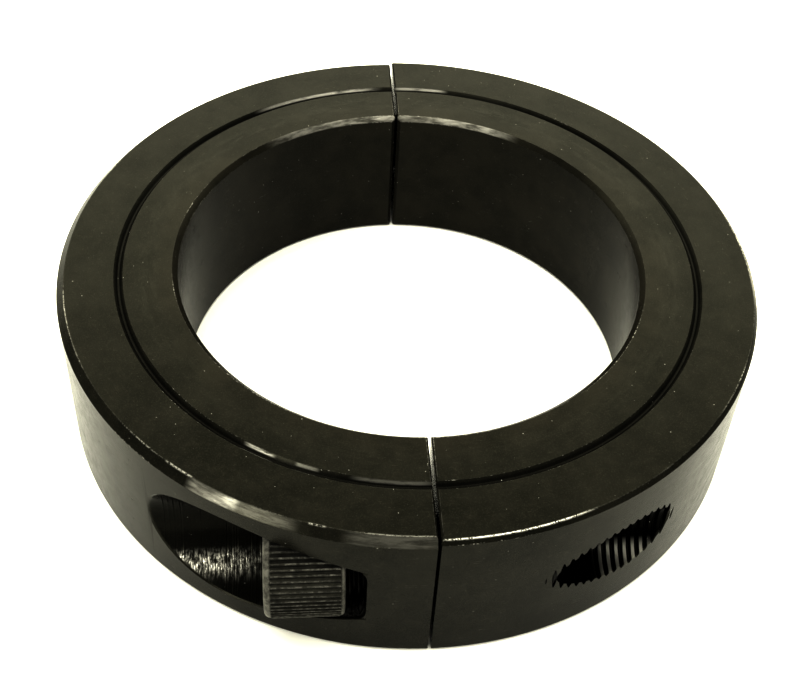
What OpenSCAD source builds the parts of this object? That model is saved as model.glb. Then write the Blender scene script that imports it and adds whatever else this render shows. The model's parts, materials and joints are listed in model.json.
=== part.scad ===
// Two-piece shaft collar: two grooved steel half rings, held round a shaft by
// two opposed socket head cap screws. All lengths are in millimetres.
// The bore axis is +Z, the collar stands on z = 0, the halves meet at x = 0,
// and turning the collar by half a turn about Z swaps its two halves.

/* [Ring] */
// Diameter of the bore, which is that of the shaft
bore_d = 63.5; // [62:0.1:64]
// Outside diameter
ring_od = 95.25; // [95:0.05:98]
// Width along the shaft
ring_w = 22.225; // [20:0.005:26]
// Gap between the halves
split_gap = 0.4; // [0.2:0.05:1.5]

/* [Turned edges] */
// Chamfer round the left half's upper outside edge
left_chamfer = 1.0; // [0.3:0.05:1.5]
// Chamfer round the right half's upper outside edge, which was cut lighter
right_chamfer = 0.5; // [0.3:0.05:1.5]
// Chamfer round the lower outside edge
lower_chamfer = 0.5; // [0.2:0.05:1.5]
// Chamfer at the upper mouth of the bore
bore_chamfer = 0.7; // [0.2:0.05:1.2]
// Chamfer at the lower mouth of the bore
lower_bore_chamfer = 0.4; // [0.2:0.05:1.2]
// Width of the break along the straight edges of the sawn faces
saw_break = 0.25; // [0.1:0.05:0.5]
// Width of the break where the bore meets the sawn faces
bore_break = 0.45; // [0.1:0.05:0.6]

/* [Face groove] */
// Diameter of the middle of the groove in the upper face
groove_d = 79.1; // [76:0.1:84]
// Width of the groove at the face
groove_w = 1.2; // [0.8:0.1:2]
// Width of the groove's flat floor
groove_floor = 0.25; // [0.1:0.05:0.6]
// Depth of the groove
groove_depth = 0.6; // [0.2:0.05:0.8]

/* [Cap screws] */
// Outside diameter of the screw's thread
thread_d = 9.525; // [8:0.005:9.6]
// Length of the screw under its head
screw_len = 25.4; // [22:0.1:30]
// Diameter of the head
head_d = 14.2875; // [12:0.0005:14.4]
// Height of the head
head_h = 9.525; // [8:0.005:10]
// Hexagon socket, across its flats
socket_af = 7.9375; // [5:0.0005:8.5]
// Depth of the hexagon socket
socket_depth = 4.8; // [3:0.1:6]
// Distance of each screw's axis from the bore axis
screw_offset = 40.9; // [40.6:0.05:41.2]
// How far each head stands off its seat
backed_off = 2.45; // [0:0.05:5]

/* [Screw holes] */
// Diameter of the pocket for the head
pocket_d = 15.2; // [15:0.1:15.6]
// Distance of the head's seat from the split plane
seat_x = 7.9; // [6:0.1:10]
// Diameter of the hole that the screw passes through freely
free_hole_d = 10.32; // [10:0.01:10.8]
// Radial clearance of the threaded hole round the screw
thread_clearance = 0.05; // [0.02:0.01:0.1]

/* [Lock patches] */
// Length of the nylon band on the thread
patch_len = 5; // [3:0.5:7]
// Distance of the band from the screw's tip
patch_from_tip = 4.5; // [3:0.5:6]
// Outside diameter of the band
patch_od = 8.46; // [8.2:0.01:8.48]
// Diameter of the recess in the thread under the band
recess_d = 7.8; // [7.6:0.05:7.9]

/* [Hidden] */
$fn = 96;
steel = "#33322a";
dark_steel = "#26262a";
nylon = "#2f5f9e";
bore_r = bore_d / 2;
ring_r = ring_od / 2;
groove_r = groove_d / 2;
mid_z = ring_w / 2;
split_x = -split_gap / 2;
beyond = 1;                   // how far cutting shapes run past a surface
long = ring_od;               // long enough to pass through a whole half
head_x = -seat_x - backed_off;    // underside of the front screw's head
head_edge = 0.5;              // chamfer of the head's outer end
head_foot = 0.35;             // chamfer of the head's underside
tip_edge = 0.8;               // chamfer of the screw's tip
socket_lead = 0.5;            // chamfer at the mouth of the socket
drill_angle = 59;             // half the point angle of the socket's drill
band_play = 0.04;             // radial play between the band and its recess
patch_x1 = screw_len - patch_from_tip;
patch_x0 = patch_x1 - patch_len;

// Lays a shape that is made along +Z along +X.
module along_x() { rotate([0, 90, 0]) children(); }

// Swaps front and rear, and left and right.
module half_turn() { rotate([0, 0, 180]) children(); }

// A prism along Z that breaks the vertical edge at (x, y) by the given width.
module edge_breaker(x, y, width) {
    translate([x, y, -beyond]) rotate([0, 0, 45])
        linear_extrude(ring_w + 2 * beyond) square(width * sqrt(2), center = true);
}

// The whole ring with its chamfers and face groove.
module turned_ring(upper_chamfer) {
    rotate_extrude($fn = 180) polygon([
        [bore_r + lower_bore_chamfer, 0],
        [ring_r - lower_chamfer, 0],
        [ring_r, lower_chamfer],
        [ring_r, ring_w - upper_chamfer],
        [ring_r - upper_chamfer, ring_w],
        [groove_r + groove_w / 2, ring_w],
        [groove_r + groove_floor / 2, ring_w - groove_depth],
        [groove_r - groove_floor / 2, ring_w - groove_depth],
        [groove_r - groove_w / 2, ring_w],
        [bore_r + bore_chamfer, ring_w],
        [bore_r, ring_w - bore_chamfer],
        [bore_r, lower_bore_chamfer],
    ]);
}

// Everything on the left of the split, with the sawn face's long edges broken.
module left_of_split() {
    cut = saw_break + beyond;
    rotate([90, 0, 0]) linear_extrude(2 * long, center = true) polygon([
        [-long, -beyond],
        [split_x - cut, -beyond],
        [split_x, saw_break],
        [split_x, ring_w - saw_break],
        [split_x - cut, ring_w + beyond],
        [-long, ring_w + beyond],
    ]);
}

// The pocket and free hole of the front screw, and the threaded hole of the
// rear screw. All three run out through the curved side of the half.
module screw_holes() {
    translate([-long, -screw_offset, mid_z]) along_x() {
        cylinder(d = pocket_d, h = long - seat_x);
        cylinder(d = free_hole_d, h = long + beyond);
    }
    translate([-long, screw_offset, mid_z]) along_x()
        cylinder(r = thread_d / 2 + thread_clearance, h = long + beyond);
}

module clamp_half(upper_chamfer) {
    difference() {
        intersection() {
            turned_ring(upper_chamfer);
            left_of_split();
        }
        screw_holes();
        for (y = [-bore_r, bore_r]) edge_breaker(split_x, y, bore_break);
    }
}

// A cap screw along +X, with the underside of its head at x = 0.
module cap_screw() {
    head_r = head_d / 2;
    thread_r = thread_d / 2;
    point_h = socket_af / 2 / tan(drill_angle);
    corner_d = socket_af / cos(30);
    along_x() difference() {
        rotate_extrude() polygon([
            [0, -head_h],
            [head_r - head_edge, -head_h],
            [head_r, -head_h + head_edge],
            [head_r, -head_foot],
            [head_r - head_foot, 0],
            [thread_r, 0],
            [thread_r, patch_x0],
            [recess_d / 2, patch_x0],
            [recess_d / 2, patch_x1],
            [thread_r, patch_x1],
            [thread_r, screw_len - tip_edge],
            [thread_r - tip_edge, screw_len],
            [0, screw_len],
        ]);
        translate([0, 0, -head_h - beyond])
            cylinder(d = corner_d, h = socket_depth + beyond, $fn = 6);
        translate([0, 0, -head_h + socket_depth])
            cylinder(d1 = socket_af, d2 = 0, h = point_h);
        translate([0, 0, -head_h])
            cylinder(d1 = corner_d, d2 = corner_d - 2 * socket_lead, h = socket_lead);
    }
}

// The nylon band round the thread of a screw that lies along +X.
module lock_patch() {
    translate([patch_x0 + band_play, 0, 0]) along_x() difference() {
        cylinder(d = patch_od, h = patch_len - 2 * band_play);
        translate([0, 0, -beyond])
            cylinder(d = recess_d + 2 * band_play, h = patch_len + 2 * beyond);
    }
}

// Puts a shape made for a screw along +X where the front screw is.
module at_front_screw() { translate([head_x, -screw_offset, mid_z]) children(); }

module clamp_half_left() { color(steel) clamp_half(left_chamfer); }
module clamp_half_right() { color(steel) half_turn() clamp_half(right_chamfer); }
module front_cap_screw() { color(dark_steel) at_front_screw() cap_screw(); }
module rear_cap_screw() { color(dark_steel) half_turn() at_front_screw() cap_screw(); }
module front_lock_patch() { color(nylon) at_front_screw() lock_patch(); }
module rear_lock_patch() { color(nylon) half_turn() at_front_screw() lock_patch(); }

clamp_half_left();
clamp_half_right();
front_cap_screw();
rear_cap_screw();
front_lock_patch();
rear_lock_patch();
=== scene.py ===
import functools
import json
import math
import random

import bmesh
import bpy
from mathutils import Matrix, Quaternion, Vector


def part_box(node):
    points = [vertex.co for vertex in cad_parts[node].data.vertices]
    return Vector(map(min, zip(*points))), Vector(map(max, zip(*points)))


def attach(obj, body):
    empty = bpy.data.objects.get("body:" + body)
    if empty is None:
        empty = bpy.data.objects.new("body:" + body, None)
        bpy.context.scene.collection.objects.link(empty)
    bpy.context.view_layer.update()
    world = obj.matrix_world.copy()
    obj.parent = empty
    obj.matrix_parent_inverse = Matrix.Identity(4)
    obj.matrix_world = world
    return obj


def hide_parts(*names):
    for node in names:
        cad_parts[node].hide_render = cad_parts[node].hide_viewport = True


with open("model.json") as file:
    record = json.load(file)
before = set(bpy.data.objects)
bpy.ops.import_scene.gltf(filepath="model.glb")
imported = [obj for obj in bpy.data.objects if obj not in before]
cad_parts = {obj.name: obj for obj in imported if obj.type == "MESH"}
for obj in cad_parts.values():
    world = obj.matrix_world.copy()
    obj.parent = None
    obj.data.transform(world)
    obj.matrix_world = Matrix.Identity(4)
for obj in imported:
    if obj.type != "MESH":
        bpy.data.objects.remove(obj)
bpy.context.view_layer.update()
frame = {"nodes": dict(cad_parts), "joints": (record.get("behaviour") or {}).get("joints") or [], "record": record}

# A two-piece shaft collar in black oxide steel, clamped by two cap screws.
# Lengths are in millimetres until finished() scales a mesh to metres. The bore
# axis is +Z, the halves meet at x = 0, and half a turn about Z swaps them.

# ---- Sizes ----------------------------------------------------------------

MM = 0.001
JOINTS = {joint["name"]: joint for joint in frame["joints"]}
MOUNTS = {mount["name"]: mount for mount in frame["record"]["mounts"]}
COUPLING = frame["record"]["behaviour"]["couplings"][0]

ring_low, ring_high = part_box("clamp_half_left")
ring_r = -ring_low.x / MM
ring_w = ring_high.z / MM
split_gap = -2 * ring_high.x / MM
bore_r = MOUNTS["shaft_bore"]["dims"]["r_mm"]
# The point on the front screw's axis at the underside of its head
head_x, screw_y, screw_z = [c / MM for c in JOINTS["front_screw_turn"]["pos_m"]]
pitch = 2 * math.pi / COUPLING["ratio"] / MM

left_chamfer = 1.0           # upper outside edge of the left half
right_chamfer = 0.5          # the same edge of the right half
lower_chamfer = 0.5
bore_chamfer = 0.7
lower_bore_chamfer = 0.4
saw_break = 0.25             # break along the long edges of a sawn face
bore_break = 0.45            # break where the bore meets a sawn face
edge_fillet = 0.12           # the small round left on every turned edge
groove_r = 39.55             # middle of the groove in the upper face
groove_w = 1.2
groove_floor = 0.25
groove_depth = 0.6
pocket_r = 7.6               # pocket for a screw's head
seat_x = 7.9                 # distance of the pocket's seat from the split
seat_fillet = 0.9            # round between the pocket's wall and its seat
free_hole_r = 5.16
hole_lead = 0.4              # chamfer at the mouths of the screw holes
rim_break = 0.16             # break round the pocket's edge on the outside
rim_clear = 0.004            # the bar that cuts this break starts this far outside
rim_lift = 0.5               # and ends this far out
thread_r = 4.7625            # crest of the screw's thread
thread_play = 0.05           # radial play between screw and threaded hole
thread_depth = 0.65
hole_thread_depth = 0.46
screw_len = 25.4
tip_edge = 0.8
recess_r = 3.9               # recess in the thread under the nylon band
recess_x = (15.9, 20.9)
head_r = 7.14375
head_h = 9.525
head_round = 0.8             # rounded outer end of the head
foot_round = 0.5             # rounded underside
plain_rim = 0.1              # the rounded ends lie this far below the knurl
knurl_depth = 0.26
knurl_ridges = 64
socket_af = 7.9375
socket_depth = 4.8
socket_lead = 0.5
drill_tan = math.tan(math.radians(59))
beyond = 1.0                 # how far cutting shapes run past a surface
weld = 0.0002                # points closer than this become one
flake_faces = 12             # a loose part with fewer faces is a flake
sharp_edge = 24              # degrees of bend past which an edge is shaded sharp

ring_steps = 480             # facets round the ring
thread_steps = 72            # facets round a thread
hole_steps = 120             # facets round a smooth hole
cone_steps = 64              # facets round the socket's cones

# Wear and painted highlights
flank_middle = 0.42          # from the groove's middle to that of a flank
rubbed_land = (33.6, 35.2, 36.4, 38.0)   # radii of the land rubbed between bore and groove


# ---- Mesh helpers ---------------------------------------------------------

def mesh_object(name, points, faces):
    """An object from points in millimetres."""
    mesh = bpy.data.meshes.new(name)
    mesh.from_pydata([tuple(p) for p in points], [], faces)
    shell = bmesh.new()
    shell.from_mesh(mesh)
    bmesh.ops.recalc_face_normals(shell, faces=shell.faces)
    shell.to_mesh(mesh)
    shell.free()
    obj = bpy.data.objects.new(name, mesh)
    bpy.context.scene.collection.objects.link(obj)
    return obj


def rounded(corners, steps=3):
    """A closed outline of (x, y, fillet radius) corners, with arcs for the fillets."""
    outline = []
    for i, (x, y, radius) in enumerate(corners):
        here = Vector((x, y))
        back = (Vector(corners[i - 1][:2]) - here).normalized()
        ahead = (Vector(corners[(i + 1) % len(corners)][:2]) - here).normalized()
        half_angle = back.angle(ahead) / 2
        if radius == 0 or half_angle > math.radians(89):
            outline.append((x, y))
            continue
        reach = radius / math.tan(half_angle)
        centre = here + (back + ahead).normalized() * radius / math.sin(half_angle)
        start = here + back * reach - centre
        turn = start.angle_signed(here + ahead * reach - centre)
        for k in range(steps + 1):
            outline.append(tuple(centre + Matrix.Rotation(-turn * k / steps, 2) @ start))
    return outline


def lathe(name, outline, steps, along_x=False):
    """A solid turned about Z (or X) from an outline of (radius, height) points.

    An outline that starts and ends on the axis is closed by a fan at each end."""
    on_axis = outline[0][0] == 0
    body = outline[1:-1] if on_axis else outline
    n = len(body)
    points, faces = [], []
    for i in range(steps):
        angle = 2 * math.pi * i / steps
        points += [(r * math.cos(angle), r * math.sin(angle), h) for r, h in body]
    for i in range(steps):
        a, b = i * n, (i + 1) % steps * n
        for j in range(n - 1 if on_axis else n):
            k = (j + 1) % n
            faces.append((a + j, b + j, b + k, a + k))
    if on_axis:
        first, last = len(points), len(points) + 1
        points += [(0, 0, outline[0][1]), (0, 0, outline[-1][1])]
        for i in range(steps):
            a, b = i * n, (i + 1) % steps * n
            faces += [(first, b, a), (last, a + n - 1, b + n - 1)]
    if along_x:
        points = [(h, r_y, -r_x) for r_x, r_y, h in points]
    return mesh_object(name, points, faces)


def moved(obj, x=0.0, y=0.0, z=0.0):
    for vertex in obj.data.vertices:
        vertex.co += Vector((x, y, z))
    return obj


def half_turn(obj):
    """Turns an object by half a turn about the bore axis."""
    for vertex in obj.data.vertices:
        vertex.co.x, vertex.co.y = -vertex.co.x, -vertex.co.y
    return obj


def combine(obj, tool, operation):
    """Applies a Boolean of obj and tool to obj, and removes the tool."""
    modifier = obj.modifiers.new("combine", "BOOLEAN")
    modifier.operation = operation
    modifier.solver = "MANIFOLD"
    modifier.object = tool
    evaluated = obj.evaluated_get(bpy.context.evaluated_depsgraph_get())
    result = bpy.data.meshes.new_from_object(evaluated)
    obj.modifiers.clear()
    obj.data = result
    bpy.data.objects.remove(tool)
    return obj


def prism(name, outline, low, high, along="z"):
    """A straight prism along z, x or y over a closed outline."""
    place = {
        "z": lambda a, b, h: (a, b, h),
        "x": lambda a, b, h: (h, a, b),
        "y": lambda a, b, h: (b, h, a),
    }[along]
    n = len(outline)
    points = [place(a, b, h) for h in (low, high) for a, b in outline]
    sides = [(i, (i + 1) % n, n + (i + 1) % n, n + i) for i in range(n)]
    return mesh_object(name, points, [tuple(range(n))[::-1], tuple(range(n, 2 * n))] + sides)


def without_flakes(obj):
    """Deletes the loose flakes, a few faces each, that the Boolean cuts leave."""
    shell = bmesh.new()
    shell.from_mesh(obj.data)
    bmesh.ops.remove_doubles(shell, verts=shell.verts, dist=weld)
    bmesh.ops.triangulate(shell, faces=[face for face in shell.faces if len(face.verts) > 4])
    unseen, flakes = set(shell.faces), []
    while unseen:
        island, front = [], [unseen.pop()]
        while front:
            face = front.pop()
            island.append(face)
            for edge in face.edges:
                near = [other for other in edge.link_faces if other in unseen]
                if len(edge.link_faces) == 2 and near:
                    unseen.discard(near[0])
                    front.append(near[0])
        if len(island) < flake_faces:
            flakes += island
    bmesh.ops.delete(shell, geom=flakes, context="FACES")
    shell.to_mesh(obj.data)
    shell.free()


def finished(obj, material, body, slot, *nodes):
    """Cleans a piece, scales it to metres, shades it and fixes it to its CAD body."""
    without_flakes(obj)
    for vertex in obj.data.vertices:
        vertex.co *= MM
    obj.data.polygons.foreach_set("use_smooth", [True] * len(obj.data.polygons))
    obj.data.set_sharp_from_angle(angle=math.radians(sharp_edge))
    weigh = obj.modifiers.new("flat faces stay flat", "WEIGHTED_NORMAL")
    weigh.keep_sharp = True
    obj.data.materials.clear()
    obj.data.materials.append(material)
    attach(obj, body)
    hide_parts(*nodes)
    return obj


# ---- Threads --------------------------------------------------------------

def helical_rod(name, crest, depth, start_x, end_x, phase_x):
    """A right-hand threaded rod along +X. Rows follow the helix, and a crest
    passes the +Y side at phase_x. The flats at crest and root meet 60 degree flanks."""
    crest_half, root_half = pitch / 16, pitch / 2 - pitch / 16 - depth * math.tan(math.pi / 6)
    tooth = [
        (-crest_half, crest), (crest_half, crest),
        (pitch / 2 - root_half, crest - depth * 0.97), (pitch / 2, crest - depth),
        (pitch / 2 + root_half, crest - depth * 0.97),
    ]
    first = math.floor((start_x - phase_x) / pitch) - 1
    last = math.ceil((end_x - phase_x) / pitch)
    rows = [(phase_x + turn * pitch + x, r) for turn in range(first, last) for x, r in tooth]
    n, per_turn = len(rows), len(tooth)
    points, faces = [], []
    for i in range(thread_steps):
        angle = 2 * math.pi * i / thread_steps
        advance = pitch * i / thread_steps
        points += [(x + advance, r * math.cos(angle), r * math.sin(angle)) for x, r in rows]
    for i in range(thread_steps - 1):
        a, b = i * n, (i + 1) * n
        faces += [(a + j, a + j + 1, b + j + 1, b + j) for j in range(n - 1)]
    seam = (thread_steps - 1) * n
    for j in range(n - per_turn - 1):
        faces.append((seam + j, seam + j + 1, j + per_turn + 1, j + per_turn))
    start_loop = [i * n for i in range(thread_steps)] + list(range(per_turn, 0, -1))
    end_loop = [i * n + n - 1 for i in range(thread_steps)]
    end_loop += [seam + j for j in range(n - 2, n - per_turn - 2, -1)]
    points += [(rows[0][0] - pitch, 0, 0), (rows[-1][0] + 2 * pitch, 0, 0)]
    for centre, loop in ((len(points) - 2, start_loop), (len(points) - 1, end_loop)):
        faces += [(centre, loop[k - 1], loop[k]) for k in range(len(loop))]
    return mesh_object(name, points, faces)


# ---- Clamp halves ---------------------------------------------------------

def turned_ring(name, chamfer):
    f = edge_fillet
    outer_groove, inner_groove = groove_r + groove_w / 2, groove_r - groove_w / 2
    return lathe(name, rounded([
        (bore_r + lower_bore_chamfer, 0, f), (ring_r - lower_chamfer, 0, f),
        (ring_r, lower_chamfer, f), (ring_r, ring_w - chamfer, f),
        (ring_r - chamfer, ring_w, f), (outer_groove, ring_w, f / 2),
        (groove_r + groove_floor / 2, ring_w - groove_depth, f),
        (groove_r - groove_floor / 2, ring_w - groove_depth, f),
        (inner_groove, ring_w, f / 2), (bore_r + bore_chamfer, ring_w, f),
        (bore_r, ring_w - bore_chamfer, f), (bore_r, lower_bore_chamfer, f),
    ]), ring_steps)


def left_of_split():
    """Everything left of the split, with the long edges of the sawn face broken."""
    face_x = -split_gap / 2
    cut = saw_break + beyond
    outline = [
        (-beyond, -2 * ring_r), (-beyond, face_x - cut), (saw_break, face_x),
        (ring_w - saw_break, face_x), (ring_w + beyond, face_x - cut),
        (ring_w + beyond, -2 * ring_r),
    ]
    return prism("left_of_split", outline, -2 * ring_r, 2 * ring_r, along="y")


def edge_breaker(y):
    """A prism that breaks the vertical edge between the bore and the sawn face."""
    x, w = -split_gap / 2, bore_break
    outline = [(x - w, y), (x, y - w), (x + w, y), (x, y + w)]
    return prism("edge_breaker", outline, -beyond, ring_w + beyond)


def head_pocket():
    """The pocket for the front screw's head, with the rings that its cutter left."""
    draws = random.Random(5)
    outline = [(0, -2 * ring_r), (pocket_r, -2 * ring_r)]
    x = -0.8 * ring_r
    while x < -seat_x - seat_fillet - 0.6:
        step = draws.uniform(0.25, 0.6)
        outline += [(pocket_r - draws.uniform(0.01, 0.05), x), (pocket_r, x + step / 2)]
        x += step
    bends = [math.radians(15 * k) for k in range(7)]
    outline += [(pocket_r - seat_fillet * (1 - math.cos(b)), -seat_x - seat_fillet * (1 - math.sin(b)))
                for b in bends] + [(0, -seat_x)]
    return moved(lathe("pocket", outline, 160, along_x=True), 0, screw_y, screw_z)


def free_hole():
    """The hole that the front screw passes through, chamfered at both mouths."""
    face_x = -split_gap / 2
    wide = free_hole_r + hole_lead
    outline = [
        (0, -seat_x - 0.1), (wide + 0.1, -seat_x - 0.1), (free_hole_r, -seat_x + hole_lead),
        (free_hole_r, face_x - hole_lead), (wide + beyond, face_x + beyond),
        (0, face_x + beyond),
    ]
    return moved(lathe("free_hole", outline, hole_steps, along_x=True), 0, screw_y, screw_z)


def threaded_hole():
    """The rear screw's threaded hole. Half a turn about Z brings it to the front
    screw, so its thread is made there, in step with that screw."""
    rod = helical_rod("threaded_hole", thread_r + thread_play, hole_thread_depth,
                      -4, 0.85 * ring_r, head_x)
    return half_turn(moved(rod, 0, screw_y, screw_z))


def threaded_hole_mouth():
    x, r = -split_gap / 2, thread_r + thread_play
    outline = [(0, x - r - hole_lead), (r + hole_lead + beyond, x + beyond), (0, x + beyond)]
    return moved(lathe("mouth", outline, 96, along_x=True), 0, -screw_y, screw_z)


def pocket_rim():
    """A bar along the pocket's edge on the outside, which breaks that sharp edge."""
    last = math.acos((-math.sqrt(ring_r ** 2 - seat_x ** 2) - screw_y) / pocket_r)
    steps = 96
    sections = []
    for k in range(steps + 1):
        t = -last + 2 * last * k / steps
        y = screw_y + pocket_r * math.cos(t)
        x = -math.sqrt(ring_r ** 2 - y ** 2)
        outward = Vector((x, y, 0)).normalized()
        inward = Vector((0, -math.cos(t), -math.sin(t)))
        along = outward.cross(inward).normalized()
        over = along.cross(outward)
        if over.dot(inward) > 0:
            over = -over
        down = along.cross(inward)
        if down.dot(outward) > 0:
            down = -down
        edge = Vector((x, y, screw_z + pocket_r * math.sin(t)))
        lift = outward + inward
        sections.append([
            edge + over * rim_break + outward * rim_clear, edge + down * rim_break + inward * rim_clear,
            edge + down * rim_break + lift * rim_lift, edge + over * rim_break + lift * rim_lift,
        ])
    points = [p for section in sections for p in section]
    faces = [(0, 1, 2, 3), tuple(4 * steps + j for j in (3, 2, 1, 0))]
    for k in range(steps):
        for j in range(4):
            a, b = 4 * k + j, 4 * k + (j + 1) % 4
            faces.append((a, a + 4, b + 4, b))
    return mesh_object("pocket_rim", points, faces)


def clamp_half(name, chamfer):
    half = turned_ring(name, chamfer)
    combine(half, left_of_split(), "INTERSECT")
    for y in (-bore_r, bore_r):
        combine(half, edge_breaker(y), "DIFFERENCE")
    for cutter in (head_pocket, free_hole, threaded_hole, threaded_hole_mouth, pocket_rim):
        combine(half, cutter(), "DIFFERENCE")
    return half


# ---- Cap screws -----------------------------------------------------------

def knurled_head(name):
    """The head along +X, its underside at x = 0, with straight ridges that fade
    into a plain rounded edge at each end."""
    rim_r = head_r - plain_rim
    bends = [math.radians(22.5 * k) for k in range(5)]
    rows = [(-head_h + head_round * (1 - math.sin(b)), rim_r - head_round * (1 - math.cos(b)), 0)
             for b in reversed(bends)]
    rows += [(-head_h + head_round + 0.15, head_r, 1), (-head_h / 2, head_r, 1),
             (-foot_round - 0.15, head_r, 1)]
    rows += [(-foot_round * (1 - math.sin(b)), rim_r - foot_round * (1 - math.cos(b)), 0)
             for b in bends]
    # The height of the knurl across one ridge, as a share of its depth
    ridge = (0, 0.28, 0.82, 1, 0.82, 0.28)
    around = knurl_ridges * len(ridge)
    points, faces = [], []
    for i in range(around):
        angle = 2 * math.pi * i / around
        drop = knurl_depth * (1 - ridge[i % len(ridge)])
        for x, r, knurled in rows:
            radius = r - drop * knurled
            points.append((x, radius * math.cos(angle), radius * math.sin(angle)))
    n = len(rows)
    for i in range(around):
        a, b = i * n, (i + 1) % around * n
        faces += [(a + j, a + j + 1, b + j + 1, b + j) for j in range(n - 1)]
    faces.append([i * n for i in range(around)])
    faces.append([i * n + n - 1 for i in range(around)][::-1])
    return mesh_object(name, points, faces)


def key_socket():
    """The hexagon socket. The drilled cone at its bottom is cut by socket_drill."""
    corner = socket_af / math.sqrt(3)
    hexagon = [(corner * math.cos(math.radians(60 * k)), corner * math.sin(math.radians(60 * k)))
               for k in range(6)]
    return prism("socket", hexagon, -head_h - beyond, -head_h + socket_depth, along="x")


def socket_drill():
    r = socket_af / 2
    bottom = -head_h + socket_depth
    outline = [(0, bottom - 1), (r, bottom - 1), (r, bottom), (0, bottom + r / drill_tan)]
    return lathe("drill", outline, cone_steps, along_x=True)


def socket_mouth():
    corner = socket_af / math.sqrt(3)
    outline = [(0, -head_h - beyond), (corner + beyond, -head_h - beyond),
               (corner - socket_lead, -head_h + socket_lead), (0, -head_h + socket_lead)]
    return lathe("mouth", outline, cone_steps, along_x=True)


def shank_blank():
    """The screw's shank before threading, with its point and recess."""
    r = thread_r + 0.2
    outline = [
        (0, -0.5), (r, -0.5), (r, recess_x[0]), (recess_r, recess_x[0]),
        (recess_r, recess_x[1]), (r, recess_x[1]), (r, screw_len - tip_edge - 0.2),
        (thread_r - tip_edge, screw_len), (0, screw_len),
    ]
    return lathe("blank", outline, thread_steps, along_x=True)


def cap_screw(name):
    screw = helical_rod(name, thread_r, thread_depth, -1, screw_len + 1, 0)
    combine(screw, shank_blank(), "INTERSECT")
    head = knurled_head("head")
    for cutter in (key_socket, socket_drill, socket_mouth):
        combine(head, cutter(), "DIFFERENCE")
    combine(screw, head, "UNION")
    return moved(screw, head_x, screw_y, screw_z)


# ---- Materials ------------------------------------------------------------

class Nodes:
    """Builds a material's nodes. Each method returns an output socket."""

    def __init__(self, name):
        self.material = bpy.data.materials.new(name)
        self.material.use_nodes = True
        self.tree = self.material.node_tree
        self.shader = self.tree.nodes["Principled BSDF"]

    def node(self, kind, **settings):
        node = self.tree.nodes.new(kind)
        for key, value in settings.items():
            setattr(node, key, value)
        return node

    def feed(self, socket, value):
        if isinstance(value, bpy.types.NodeSocket):
            self.tree.links.new(value, socket)
        elif value is not None:
            socket.default_value = value

    def math(self, operation, a, b=None, clamp=False):
        node = self.node("ShaderNodeMath", operation=operation, use_clamp=clamp)
        self.feed(node.inputs[0], a)
        self.feed(node.inputs[1], b)
        return node.outputs[0]

    def vector(self, operation, a, b=None, output=0):
        node = self.node("ShaderNodeVectorMath", operation=operation)
        self.feed(node.inputs[0], a)
        self.feed(node.inputs[1], b)
        return node.outputs[output]

    def join(self, x, y, z):
        node = self.node("ShaderNodeCombineXYZ")
        for socket, value in zip(node.inputs, (x, y, z)):
            self.feed(socket, value)
        return node.outputs[0]

    def place(self):
        """The surface point in millimetres, as a vector and as x, y and z."""
        point = self.node("ShaderNodeTexCoord").outputs["Object"]
        point = self.vector("MULTIPLY", point, (1 / MM,) * 3)
        parts = self.node("ShaderNodeSeparateXYZ")
        self.feed(parts.inputs[0], point)
        return point, *parts.outputs

    def noise(self, point, scale, detail=4.0, roughness=0.6):
        node = self.node("ShaderNodeTexNoise")
        self.feed(node.inputs["Vector"], point)
        node.inputs["Scale"].default_value = scale
        node.inputs["Detail"].default_value = detail
        node.inputs["Roughness"].default_value = roughness
        return node.outputs["Fac"]

    def band(self, value, low, high, to_low=0.0, to_high=1.0):
        """Runs smoothly from to_low to to_high as value goes from low to high."""
        node = self.node("ShaderNodeMapRange", interpolation_type="SMOOTHSTEP")
        for socket, number in zip(node.inputs, (value, low, high, to_low, to_high)):
            self.feed(socket, number)
        return node.outputs[0]

    def blend(self, share, a, b):
        node = self.node("ShaderNodeMix", data_type="RGBA")
        for key, value in (("Factor_Float", share), ("A_Color", a), ("B_Color", b)):
            socket = next(s for s in node.inputs if s.identifier == key)
            self.feed(socket, value)
        return next(s for s in node.outputs if s.identifier == "Result_Color")

    def times(self, *values):
        return functools.reduce(lambda a, b: self.math("MULTIPLY", a, b), values)

    def most(self, *values):
        return functools.reduce(lambda a, b: self.math("MAXIMUM", a, b), values)

    def distance(self, a, b):
        """How far the point (a, b) is from the origin."""
        return self.vector("LENGTH", self.join(a, b, 0.0), output=1)

    def bump(self, heights):
        """Chains (height, distance in mm, strength) bumps into one normal."""
        normal = None
        for height, depth, strength in heights:
            node = self.node("ShaderNodeBump")
            node.inputs["Distance"].default_value = depth * MM
            node.inputs["Strength"].default_value = strength
            self.feed(node.inputs["Height"], height)
            self.feed(node.inputs["Normal"], normal)
            normal = node.outputs[0]
        self.feed(self.shader.inputs["Normal"], normal)


def grey(value, warmth=(1.0, 0.97, 0.88)):
    return tuple(value * w for w in warmth) + (1.0,)


def finish_steel(n, oxide, roughness, sheen, wear, wear_roughness=0.3):
    """Black oxide that mirrors more where sheen is high, with bare steel where wear is 1; on the rings, wear also
    carries painted highlights.
    """
    n.feed(n.shader.inputs["Specular IOR Level"], sheen)
    n.feed(n.shader.inputs["Base Color"], n.blend(wear, oxide, grey(0.62, (1, 0.98, 0.93))))
    n.feed(n.shader.inputs["Metallic"], wear)
    n.feed(n.shader.inputs["Roughness"],
           n.math("ADD", n.math("MULTIPLY", n.math("SUBTRACT", wear_roughness, roughness), wear),
                  roughness))
    n.shader.inputs["IOR"].default_value = 1.2
    n.shader.inputs["Specular Tint"].default_value = (1, 0.98, 0.80, 1)


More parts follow.
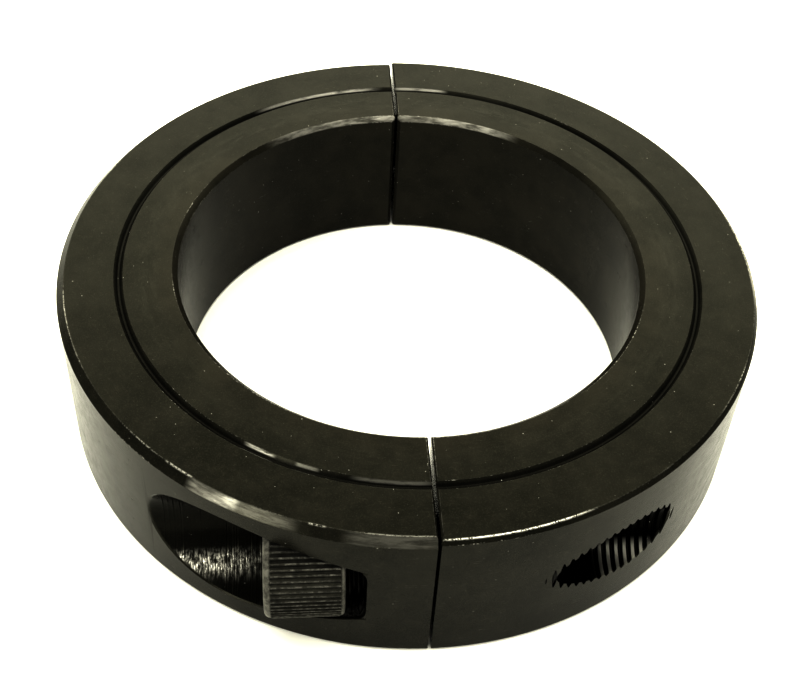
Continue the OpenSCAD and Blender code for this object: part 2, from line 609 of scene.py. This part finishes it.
class RingNodes(Nodes):
    """The nodes of a ring's material, with what its colour and wear go by."""

    def __init__(self, name):
        super().__init__(name)
        self.point, self.x, self.y, self.z = self.place()
        self.radius = self.distance(self.x, self.y)
        self.around = self.times(self.math("ARCTAN2", self.y, self.x), 8.0)
        self.mottle = self.noise(self.point, 0.16, 8.0, 0.62)
        self.stain = self.noise(self.point, 0.6, 6.0, 0.7)
        self.grain = self.noise(self.point, 7.0, 3.0, 0.6)
        self.fine_break = self.noise(self.point, 3.4, 4.0, 0.7)
        self.lines = self.turned_noise(5.0, 1.0, 5.0)
        self.streaks = self.turned_noise(1.6, 1.3, 6.0)
        self.from_screw = self.distance(self.math("ADD", self.math("ABSOLUTE", self.y), screw_y),
                                        self.math("SUBTRACT", self.z, screw_z))
        # Positive in the quarters of the ring with a pocket, negative in the threaded ones
        self.quarter = self.times(self.x, self.y, 0.1)
        self.inside = self.band(self.radius, ring_r - 0.1, ring_r - 0.3)
        self.in_pocket = self.times(
            self.inside, self.band(self.from_screw, pocket_r + 0.25, pocket_r + 0.05),
            self.band(self.quarter, 2.0, 4.0))

    def turned_noise(self, across, along, detail):
        """Noise drawn out along the lathe's cut."""
        place = self.join(self.times(self.radius, across), self.times(self.around, along),
                          self.times(self.z, across))
        return self.noise(place, 1.0, detail, 0.7)

    def window(self, value, low, full_low, full_high, high):
        """1 between the two full values, fading to 0 at low and high."""
        return self.times(self.band(value, low, full_low), self.band(value, high, full_high))

    def circle(self, r, z, width, threshold):
        """Broken wear along the circle of radius r at height z."""
        off = self.distance(self.math("SUBTRACT", self.radius, r), self.math("SUBTRACT", self.z, z))
        return self.times(self.band(off, width, 0.0),
                          self.band(self.fine_break, threshold, threshold + 0.1))

    def stretches(self, where, places):
        """Keeps a mask only near each (middle angle, half width, strength) of places."""
        kept = []
        for middle, half_width, strength in places:
            facing = self.math("ADD", self.times(self.x, math.cos(math.radians(middle))),
                               self.times(self.y, math.sin(math.radians(middle))))
            arc = self.band(self.math("DIVIDE", facing, self.radius),
                            math.cos(math.radians(half_width)),
                            math.cos(math.radians(half_width * 0.5)))
            kept.append(self.times(where, arc, strength))
        return kept


def edge_wear(n, chamfer):
    """Light wear here and there on every turned edge."""
    patches = n.band(n.noise(n.point, 0.07, 3.0, 0.5), 0.45, 0.7, 0.03, 0.7)
    turned_edges = [
        (ring_r - chamfer, ring_w, 0.16, 0.44), (ring_r, ring_w - chamfer, 0.14, 0.52),
        (bore_r + bore_chamfer, ring_w, 0.13, 0.5), (bore_r, ring_w - bore_chamfer, 0.13, 0.5),
        (groove_r + groove_w / 2, ring_w, 0.09, 0.56), (groove_r - groove_w / 2, ring_w, 0.09, 0.56),
        (ring_r, lower_chamfer, 0.16, 0.5), (ring_r - lower_chamfer, 0, 0.16, 0.5),
    ]
    return [n.times(n.circle(*edge), patches) for edge in turned_edges]


def wear_and_painted_highlights(n, chamfer, marks):
    """The stretches of bare steel: partly rubbed more than the rest, partly painted highlights placed where
    highlights fall as seen from the camera.
    """
    outer = n.times(n.band(n.radius, ring_r - chamfer - 0.1, ring_r - chamfer + 0.1),
                    n.band(n.z, ring_w - chamfer - 0.15, ring_w - chamfer + 0.1),
                    n.band(n.streaks, 0.36, 0.64, 0.3, 1.0))
    inner = n.times(n.band(n.z, ring_w - bore_chamfer - 0.1, ring_w - bore_chamfer + 0.1),
                    n.band(n.radius, bore_r + bore_chamfer + 0.1, bore_r + bore_chamfer - 0.05),
                    n.band(n.streaks, 0.36, 0.64, 0.2, 1.0))
    from_flank = n.math("SUBTRACT", from_groove(n), flank_middle)
    flank = n.times(
        n.band(n.distance(from_flank, n.math("SUBTRACT", n.z, ring_w - 0.2)), 0.32, 0.1),
        n.band(n.streaks, 0.3, 0.5))
    return (n.stretches(outer, marks["outer chamfer"]) + n.stretches(inner, marks["bore chamfer"])
            + n.stretches(n.circle(ring_r - chamfer, ring_w, 0.22, 0.4), marks["rim"])
            + n.stretches(flank, marks["groove"]))


def from_groove(n):
    return n.math("ABSOLUTE", n.math("SUBTRACT", n.radius, groove_r))


def split_wear(n):
    """Wear along the sawn faces' upper edges, most of it near the bore."""
    from_face = n.math("SUBTRACT", n.math("ABSOLUTE", n.x), split_gap / 2)
    return n.times(n.band(from_face, 0.3, 0.2), n.band(n.z, ring_w - 0.1, ring_w - 0.02),
                   n.band(n.radius, bore_r + 7, bore_r + 1, 0.12, 0.8),
                   n.band(n.fine_break, 0.4, 0.6))


def pocket_glints(n):
    """Painted glints low on the pockets' walls: bare steel in the cutter's rings, placed where highlights fall as
    seen from the camera.
    """
    rings = n.noise(n.join(n.times(n.x, 4.5), n.times(n.z, 0.9), 0.0), 1.0, 4.0, 0.8)
    flecks = n.noise(n.join(n.times(n.x, 2.2), n.times(n.z, 2.2), 7.0), 1.0, 4.0, 0.7)
    return n.times(n.in_pocket,
                   n.window(n.z, screw_z - 7.5, screw_z - 6.7, screw_z - 6.4, screw_z - 5.2),
                   n.band(n.quarter, 5.0, 9.0),
                   n.band(n.math("ABSOLUTE", n.x), 19.5, 24.0, 0.25, 1.0),
                   n.band(rings, 0.4, 0.62), n.band(flecks, 0.38, 0.62, 0.06, 0.9))


def tapped_crest_highlights(n):
    """Painted highlights: pale bare-steel crests low in the middle of the threaded holes, placed where highlights
    fall as seen from the camera.
    """
    crest_r = thread_r + thread_play - hole_thread_depth
    return n.times(n.band(n.from_screw, crest_r + 0.12, crest_r + 0.03),
                   n.band(n.quarter, -5.0, -9.0),
                   n.window(n.z, screw_z - 4.6, screw_z - 4.2, screw_z - 3.6, screw_z - 2.8),
                   n.window(n.math("ABSOLUTE", n.x), 20.5, 22.5, 27.0, 29.0), 0.22)


def painted_shade_in_cavities(n):
    """Painted shade: a mask, high in the groove, the threaded holes and the pockets, for darkening and dulling
    where shade falls.
    """
    groove = n.times(n.band(n.z, ring_w - 0.1, ring_w - 0.4), n.band(from_groove(n), 0.8, 0.6), 0.6)
    thread = n.times(n.band(n.from_screw, thread_r + 0.54, thread_r + 0.24), n.inside)
    return n.most(groove, thread, n.times(n.in_pocket, 0.5))


def ring_shade(n, cavity_shade):
    """Olive oxide, browner in patches and close to the bore, with painted shade, black, in the groove, the pockets
    and the threaded holes.
    """
    shade = n.blend(n.band(n.mottle, 0.3, 0.7), grey(0.007, (1.0, 1.0, 0.74)),
                    grey(0.012, (1.0, 0.97, 0.75)))
    brown = n.most(n.band(n.stain, 0.45, 0.75, 0.0, 0.4),
                   n.times(n.band(n.radius, bore_r + 6, bore_r + 1.5),
                           n.band(n.mottle, 0.35, 0.65, 0.2, 0.7)))
    shade = n.blend(brown, shade, grey(0.018, (1.0, 0.89, 0.66)))
    shade = n.blend(n.band(n.grain, 0.5, 0.75, 0.0, 0.6), shade, grey(0.030, (1.0, 0.97, 0.74)))
    # Painted shade: black in the groove, the pockets and the threaded holes
    return n.blend(cavity_shade, shade, grey(0.001))


def ring_sheen(n, cavity_shade):
    """Uneven, a little higher on the rubbed inner land, and lowered as painted shade in the groove, the pockets
    and the threaded holes.
    """
    cloud = n.math("ADD", n.times(n.mottle, 0.3), n.times(n.stain, 0.3))
    cloud = n.math("ADD", cloud, n.times(n.grain, 0.4))
    rubbed = n.times(n.window(n.radius, *rubbed_land), n.band(n.streaks, 0.4, 0.65, 0.0, 0.16))
    sheen = n.math("ADD", n.band(cloud, 0.36, 0.64, 0.42, 0.57), rubbed)
    # Painted shade: less reflection in the groove, the pockets and the threaded holes
    return n.times(sheen, n.math("SUBTRACT", 1.0, n.times(cavity_shade, 0.75)))


def ring_material(name, chamfer, marks):
    """The turned ring: olive black oxide, mottled, with its edges rubbed bright,
    painted highlights of bare steel and painted shade in the groove, pockets and threaded holes.

    marks holds, for four places on the ring, the stretches of bare steel that stand
    partly for wear and partly for painted highlights, as (middle angle, half width,
    strength) in degrees round the bore."""
    n = RingNodes(name)
    dust = n.times(n.band(n.noise(n.point, 2.6, 1.0, 0.5), 0.79, 0.815), 0.4)
    # Bare steel: wear and dust, with painted highlights in the marked stretches, the pockets and the threaded
    # holes
    wear = n.most(*edge_wear(n, chamfer), *wear_and_painted_highlights(n, chamfer, marks),
                  split_wear(n), pocket_glints(n), tapped_crest_highlights(n), dust)
    # Painted shade for the groove, the threaded holes and the pockets
    cavity_shade = painted_shade_in_cavities(n)
    roughness = n.band(n.math("ADD", n.times(n.stain, 0.6), n.times(n.lines, 0.4)),
                       0.35, 0.68, 0.16, 0.29)
    finish_steel(n, ring_shade(n, cavity_shade), roughness, ring_sheen(n, cavity_shade), wear)
    n.bump([(n.mottle, 0.06, 0.3), (n.lines, 0.014, 0.6), (n.grain, 0.008, 0.6)])
    return n.material


def screw_material():
    """The screws: finer black oxide, rubbed on the knurl's crests and the head's rounds."""
    n = Nodes("screw_black_oxide")
    point, x, y, z = n.place()
    from_axis = n.distance(n.math("ADD", n.math("ABSOLUTE", y), screw_y),
                           n.math("SUBTRACT", z, screw_z))
    along = n.math("ABSOLUTE", x)
    grain = n.noise(point, 9.0, 4.0, 0.65)
    stain = n.noise(point, 0.9, 6.0, 0.7)
    crests = n.times(n.band(from_axis, head_r - 0.1, head_r + 0.005),
                     n.band(n.noise(point, 1.6, 5.0, 0.7), 0.4, 0.7, 0.02, 0.22))
    outer_round = head_h - head_x - head_round
    inner_round = foot_round - head_x
    ends = n.most(n.band(along, outer_round - 0.2, outer_round + 0.2),
                  n.band(along, inner_round + 0.1, inner_round - 0.2))
    ends = n.times(ends, n.band(from_axis, head_r - 1.4, head_r - 0.6),
                   n.band(stain, 0.36, 0.62, 0.05, 0.2))
    # The thread between the head and its seat, which is in the pocket's shade
    shaded = n.times(n.band(from_axis, thread_r + 0.3, thread_r + 0.1),
                     n.band(along, seat_x - 1, seat_x))
    shade = n.blend(n.band(stain, 0.35, 0.7), grey(0.009, (1.0, 0.99, 0.9)),
                    grey(0.024, (1.0, 0.98, 0.86)))
    shade = n.blend(shaded, shade, grey(0.003))
    roughness = n.band(grain, 0.3, 0.7, 0.32, 0.5)
    sheen = n.math("SUBTRACT", 0.5, n.times(shaded, 0.35))
    finish_steel(n, shade, roughness, sheen, n.most(crests, ends), 0.38)
    n.bump([(stain, 0.03, 0.3), (grain, 0.01, 0.5)])
    return n.material


def nylon_material():
    """The nylon band: a translucent-looking blue with flow marks."""
    n = Nodes("blue_nylon")
    point = n.place()[0]
    flow = n.noise(point, 1.4, 5.0, 0.6)
    n.feed(n.shader.inputs["Base Color"],
           n.blend(n.band(flow, 0.3, 0.7), (0.02, 0.10, 0.33, 1), (0.04, 0.17, 0.46, 1)))
    n.feed(n.shader.inputs["Roughness"], n.band(flow, 0.3, 0.7, 0.35, 0.55))
    n.shader.inputs["Subsurface Weight"].default_value = 0.15
    n.shader.inputs["Subsurface Scale"].default_value = 0.5 * MM
    n.bump([(n.noise(point, 5.0, 4.0, 0.6), 0.02, 0.5)])
    return n.material


def floor_material():
    n = Nodes("white_table")
    point = n.place()[0]
    n.feed(n.shader.inputs["Base Color"],
           n.blend(n.noise(point, 0.02, 4.0), (0.90, 0.90, 0.89, 1), (0.94, 0.94, 0.93, 1)))
    n.shader.inputs["Roughness"].default_value = 0.6
    n.shader.inputs["Specular IOR Level"].default_value = 0.2
    return n.material


# ---- The object -----------------------------------------------------------

# Stretches worn most, partly wear and partly painted highlights, as (middle angle, half width, strength)
left_steel = ring_material("left_black_oxide", left_chamfer, {
    "outer chamfer": [(-122.5, 5, 0.36), (-115, 6, 0.13), (-96, 8, 0.13), (118, 10, 0.3)],
    "bore chamfer": [(104, 26, 0.35)],
    "rim": [(-129, 3, 0.5), (-107, 1.5, 0.4), (-95, 7, 0.25)],
    "groove": [(-121, 3.5, 0.35), (-112, 2.5, 0.18), (-97, 8, 0.16), (108, 16, 0.45)],
})
right_steel = ring_material("right_black_oxide", right_chamfer, {
    "outer chamfer": [(0, 15, 0.4), (60, 20, 0.2)],
    "bore chamfer": [(74, 20, 0.35)],
    "rim": [(-79, 13, 0.95)],
    "groove": [(84, 7, 0.4)],
})
screw_steel = screw_material()
nylon = nylon_material()

finished(clamp_half("left_half_ring", left_chamfer), left_steel,
         "half_left", "ring_steel", "clamp_half_left")
finished(half_turn(clamp_half("right_half_ring", right_chamfer)), right_steel,
         "half_right", "ring_steel", "clamp_half_right")
finished(cap_screw("front_socket_head_screw"), screw_steel,
         "front_screw", "screw_steel", "front_cap_screw")
finished(half_turn(cap_screw("rear_socket_head_screw")), screw_steel,
         "rear_screw", "screw_steel", "rear_cap_screw")
for node in ("front_lock_patch", "rear_lock_patch"):
    frame["nodes"][node].data.materials.clear()
    frame["nodes"][node].data.materials.append(nylon)


# ---- Floor, light and camera ----------------------------------------------

room_glow = 0.3              # brightness of the dim room
wall_glow = 6.4              # brightness of its bright wall
cream = (1, 0.985, 0.86)     # colour of both lights
floor_reach = 3000           # half the floor's side
floor_drop = 0.02            # the floor lies this far below the collar


def studio_floor():
    corners = [(-1, -1), (1, -1), (1, 1), (-1, 1)]
    floor = mesh_object("floor", [(x * floor_reach, y * floor_reach, -floor_drop)
                                  for x, y in corners], [(0, 1, 2, 3)])
    for vertex in floor.data.vertices:
        vertex.co *= MM
    floor.data.materials.append(floor_material())


def soft_light(name, place, aim, side, power):
    """A square light, placed and sized in metres."""
    light = bpy.data.lights.new(name, "AREA")
    light.shape = "SQUARE"
    light.size = side
    light.energy = power
    light.color = cream
    obj = bpy.data.objects.new(name, light)
    obj.location = place
    obj.rotation_mode = "QUATERNION"
    obj.rotation_quaternion = (Vector(aim) - Vector(place)).to_track_quat("-Z", "Y")
    bpy.context.scene.collection.objects.link(obj)


def studio_world():
    """A dim cream room with a wide bright wall beyond the collar, above eye level."""
    world = bpy.data.worlds.new("studio")
    world.use_nodes = True
    tree = world.node_tree
    parts = tree.nodes.new("ShaderNodeSeparateXYZ")
    tree.links.new(tree.nodes.new("ShaderNodeTexCoord").outputs["Generated"], parts.inputs[0])

    def ramp(source, *numbers):
        node = tree.nodes.new("ShaderNodeMapRange")
        node.interpolation_type = "SMOOTHSTEP"
        tree.links.new(source, node.inputs[0])
        for socket, number in zip(node.inputs[1:], numbers):
            socket.default_value = number
        return node.outputs[0]

    def times(one, other):
        node = tree.nodes.new("ShaderNodeMath")
        node.operation = "MULTIPLY"
        tree.links.new(one, node.inputs[0])
        tree.links.new(other, node.inputs[1])
        return node.outputs[0]

    wall = times(ramp(parts.outputs["Z"], 0.15, 0.6, 0, 1), ramp(parts.outputs["Z"], 0.92, 0.62, 0, 1))
    wall = times(wall, ramp(parts.outputs["Y"], -0.1, 0.6, 0, 1))
    glow = ramp(wall, 0, 1, room_glow, wall_glow)
    background = tree.nodes["Background"]
    background.inputs["Color"].default_value = (1, 0.98, 0.80, 1)
    tree.links.new(glow, background.inputs["Strength"])
    bpy.context.scene.world = world


def camera():
    """The photograph's viewpoint: close, 45 degrees above the table."""
    centre = Vector((0, 0, ring_w / 2)) * MM
    azimuth, elevation, distance = math.radians(-6.54), math.radians(44.69), 184.35 * MM
    aim_offset = Vector((3.26, 10.67, 0)) * MM
    roll = math.radians(4.32)
    data = bpy.data.cameras.new("camera")
    data.lens = 56.87
    data.shift_x, data.shift_y = -0.0232, -0.1091
    data.clip_start = 5 * MM
    obj = bpy.data.objects.new("camera", data)
    obj.location = centre + distance * Vector((
        math.cos(elevation) * math.sin(azimuth), -math.cos(elevation) * math.cos(azimuth),
        math.sin(elevation)))
    look = (centre + aim_offset - obj.location).to_track_quat("-Z", "Y")
    obj.rotation_mode = "QUATERNION"
    obj.rotation_quaternion = look @ Quaternion((0, 0, 1), roll)
    bpy.context.scene.collection.objects.link(obj)
    bpy.context.scene.camera = obj


studio_floor()
studio_world()
soft_light("overhead", (0, -0.2, 1.4), (0, 0, 0), 1.6, 48)
soft_light("lamp", (-0.77, -0.73, 0.63), (-0.02, -0.04, 0.02), 0.34, 6.5)
camera()
bpy.context.scene.view_settings.view_transform = "Standard"
bpy.context.scene.view_settings.gamma = 0.62
